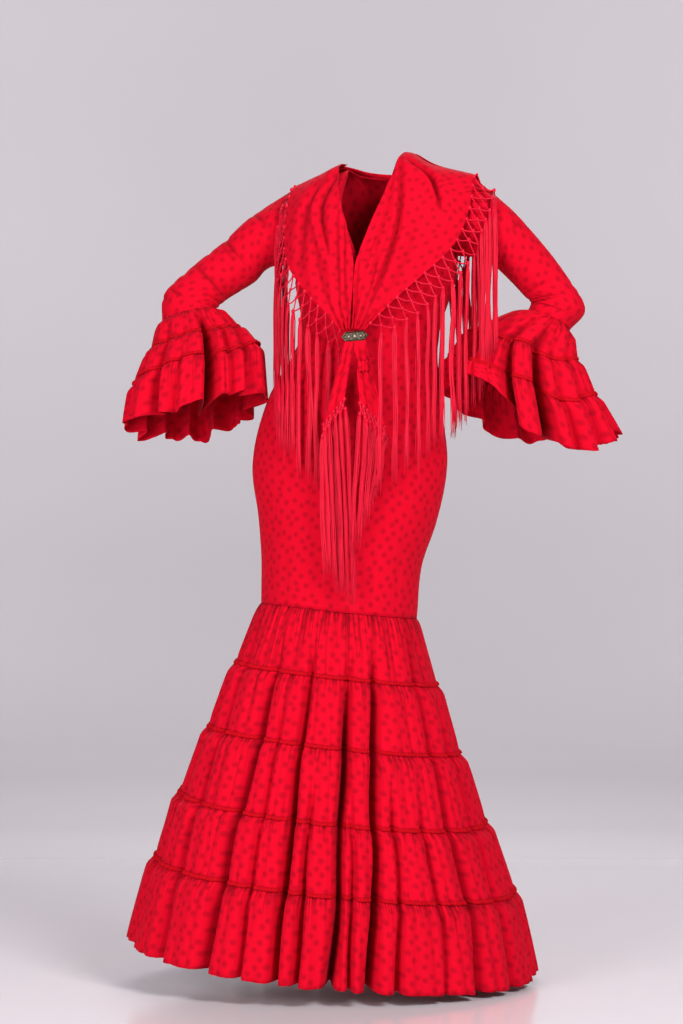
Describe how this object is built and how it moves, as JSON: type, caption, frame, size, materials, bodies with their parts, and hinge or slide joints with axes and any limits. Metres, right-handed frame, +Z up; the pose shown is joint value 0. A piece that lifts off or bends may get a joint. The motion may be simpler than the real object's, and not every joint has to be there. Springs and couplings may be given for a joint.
{
  "type": "flamenco dress with matching fringed shawl",
  "caption": "Long fitted dress flaring into gathered tiers below the knee, with ruffled elbow sleeves and a clasped shawl edged with knotted fringe.",
  "frame": {"origin": "middle of the shoulder line, at the height of the shoulder tips, where the worn dress is held up", "axes": "+Z up, -Y towards the front, +X towards the wearer's left"},
  "size_m": [0.9233, 0.7095, 1.5235],
  "materials": {
    "red_crepe": "matt bright red crepe with scattered darker red dots",
    "red_braid": "matt dark red gathered braid",
    "fringe_red": "silky crimson cord and ribbon strands",
    "clasp_bronze": "aged bronze, satin"
  },
  "bodies": {
    "root": {"body_back": "red_crepe", "body_front": "red_crepe", "clasp": "clasp_bronze", "fringe_back": "fringe_red", "fringe_front_left": "fringe_red", "fringe_front_right": "fringe_red", "fringe_tail_left": "fringe_red", "fringe_tail_right": "fringe_red", "shawl_back": "red_crepe", "shawl_front_left": "red_crepe", "shawl_front_right": "red_crepe", "shawl_tail_left": "red_crepe", "shawl_tail_right": "red_crepe", "skirt_braid_1": "red_braid", "skirt_braid_2": "red_braid", "skirt_braid_3": "red_braid", "skirt_braid_4": "red_braid", "skirt_tier_1": "red_crepe", "skirt_tier_2": "red_crepe", "skirt_tier_3": "red_crepe", "skirt_tier_4": "red_crepe", "skirt_tier_5": "red_crepe", "sleeve_left": "red_crepe", "sleeve_left_braid_1": "red_braid", "sleeve_left_braid_2": "red_braid", "sleeve_left_ruffle_1": "red_crepe", "sleeve_left_ruffle_2": "red_crepe", "sleeve_left_ruffle_3": "red_crepe", "sleeve_right": "red_crepe", "sleeve_right_braid_1": "red_braid", "sleeve_right_braid_2": "red_braid", "sleeve_right_ruffle_1": "red_crepe", "sleeve_right_ruffle_2": "red_crepe", "sleeve_right_ruffle_3": "red_crepe"}
  },
  "joints": []
}
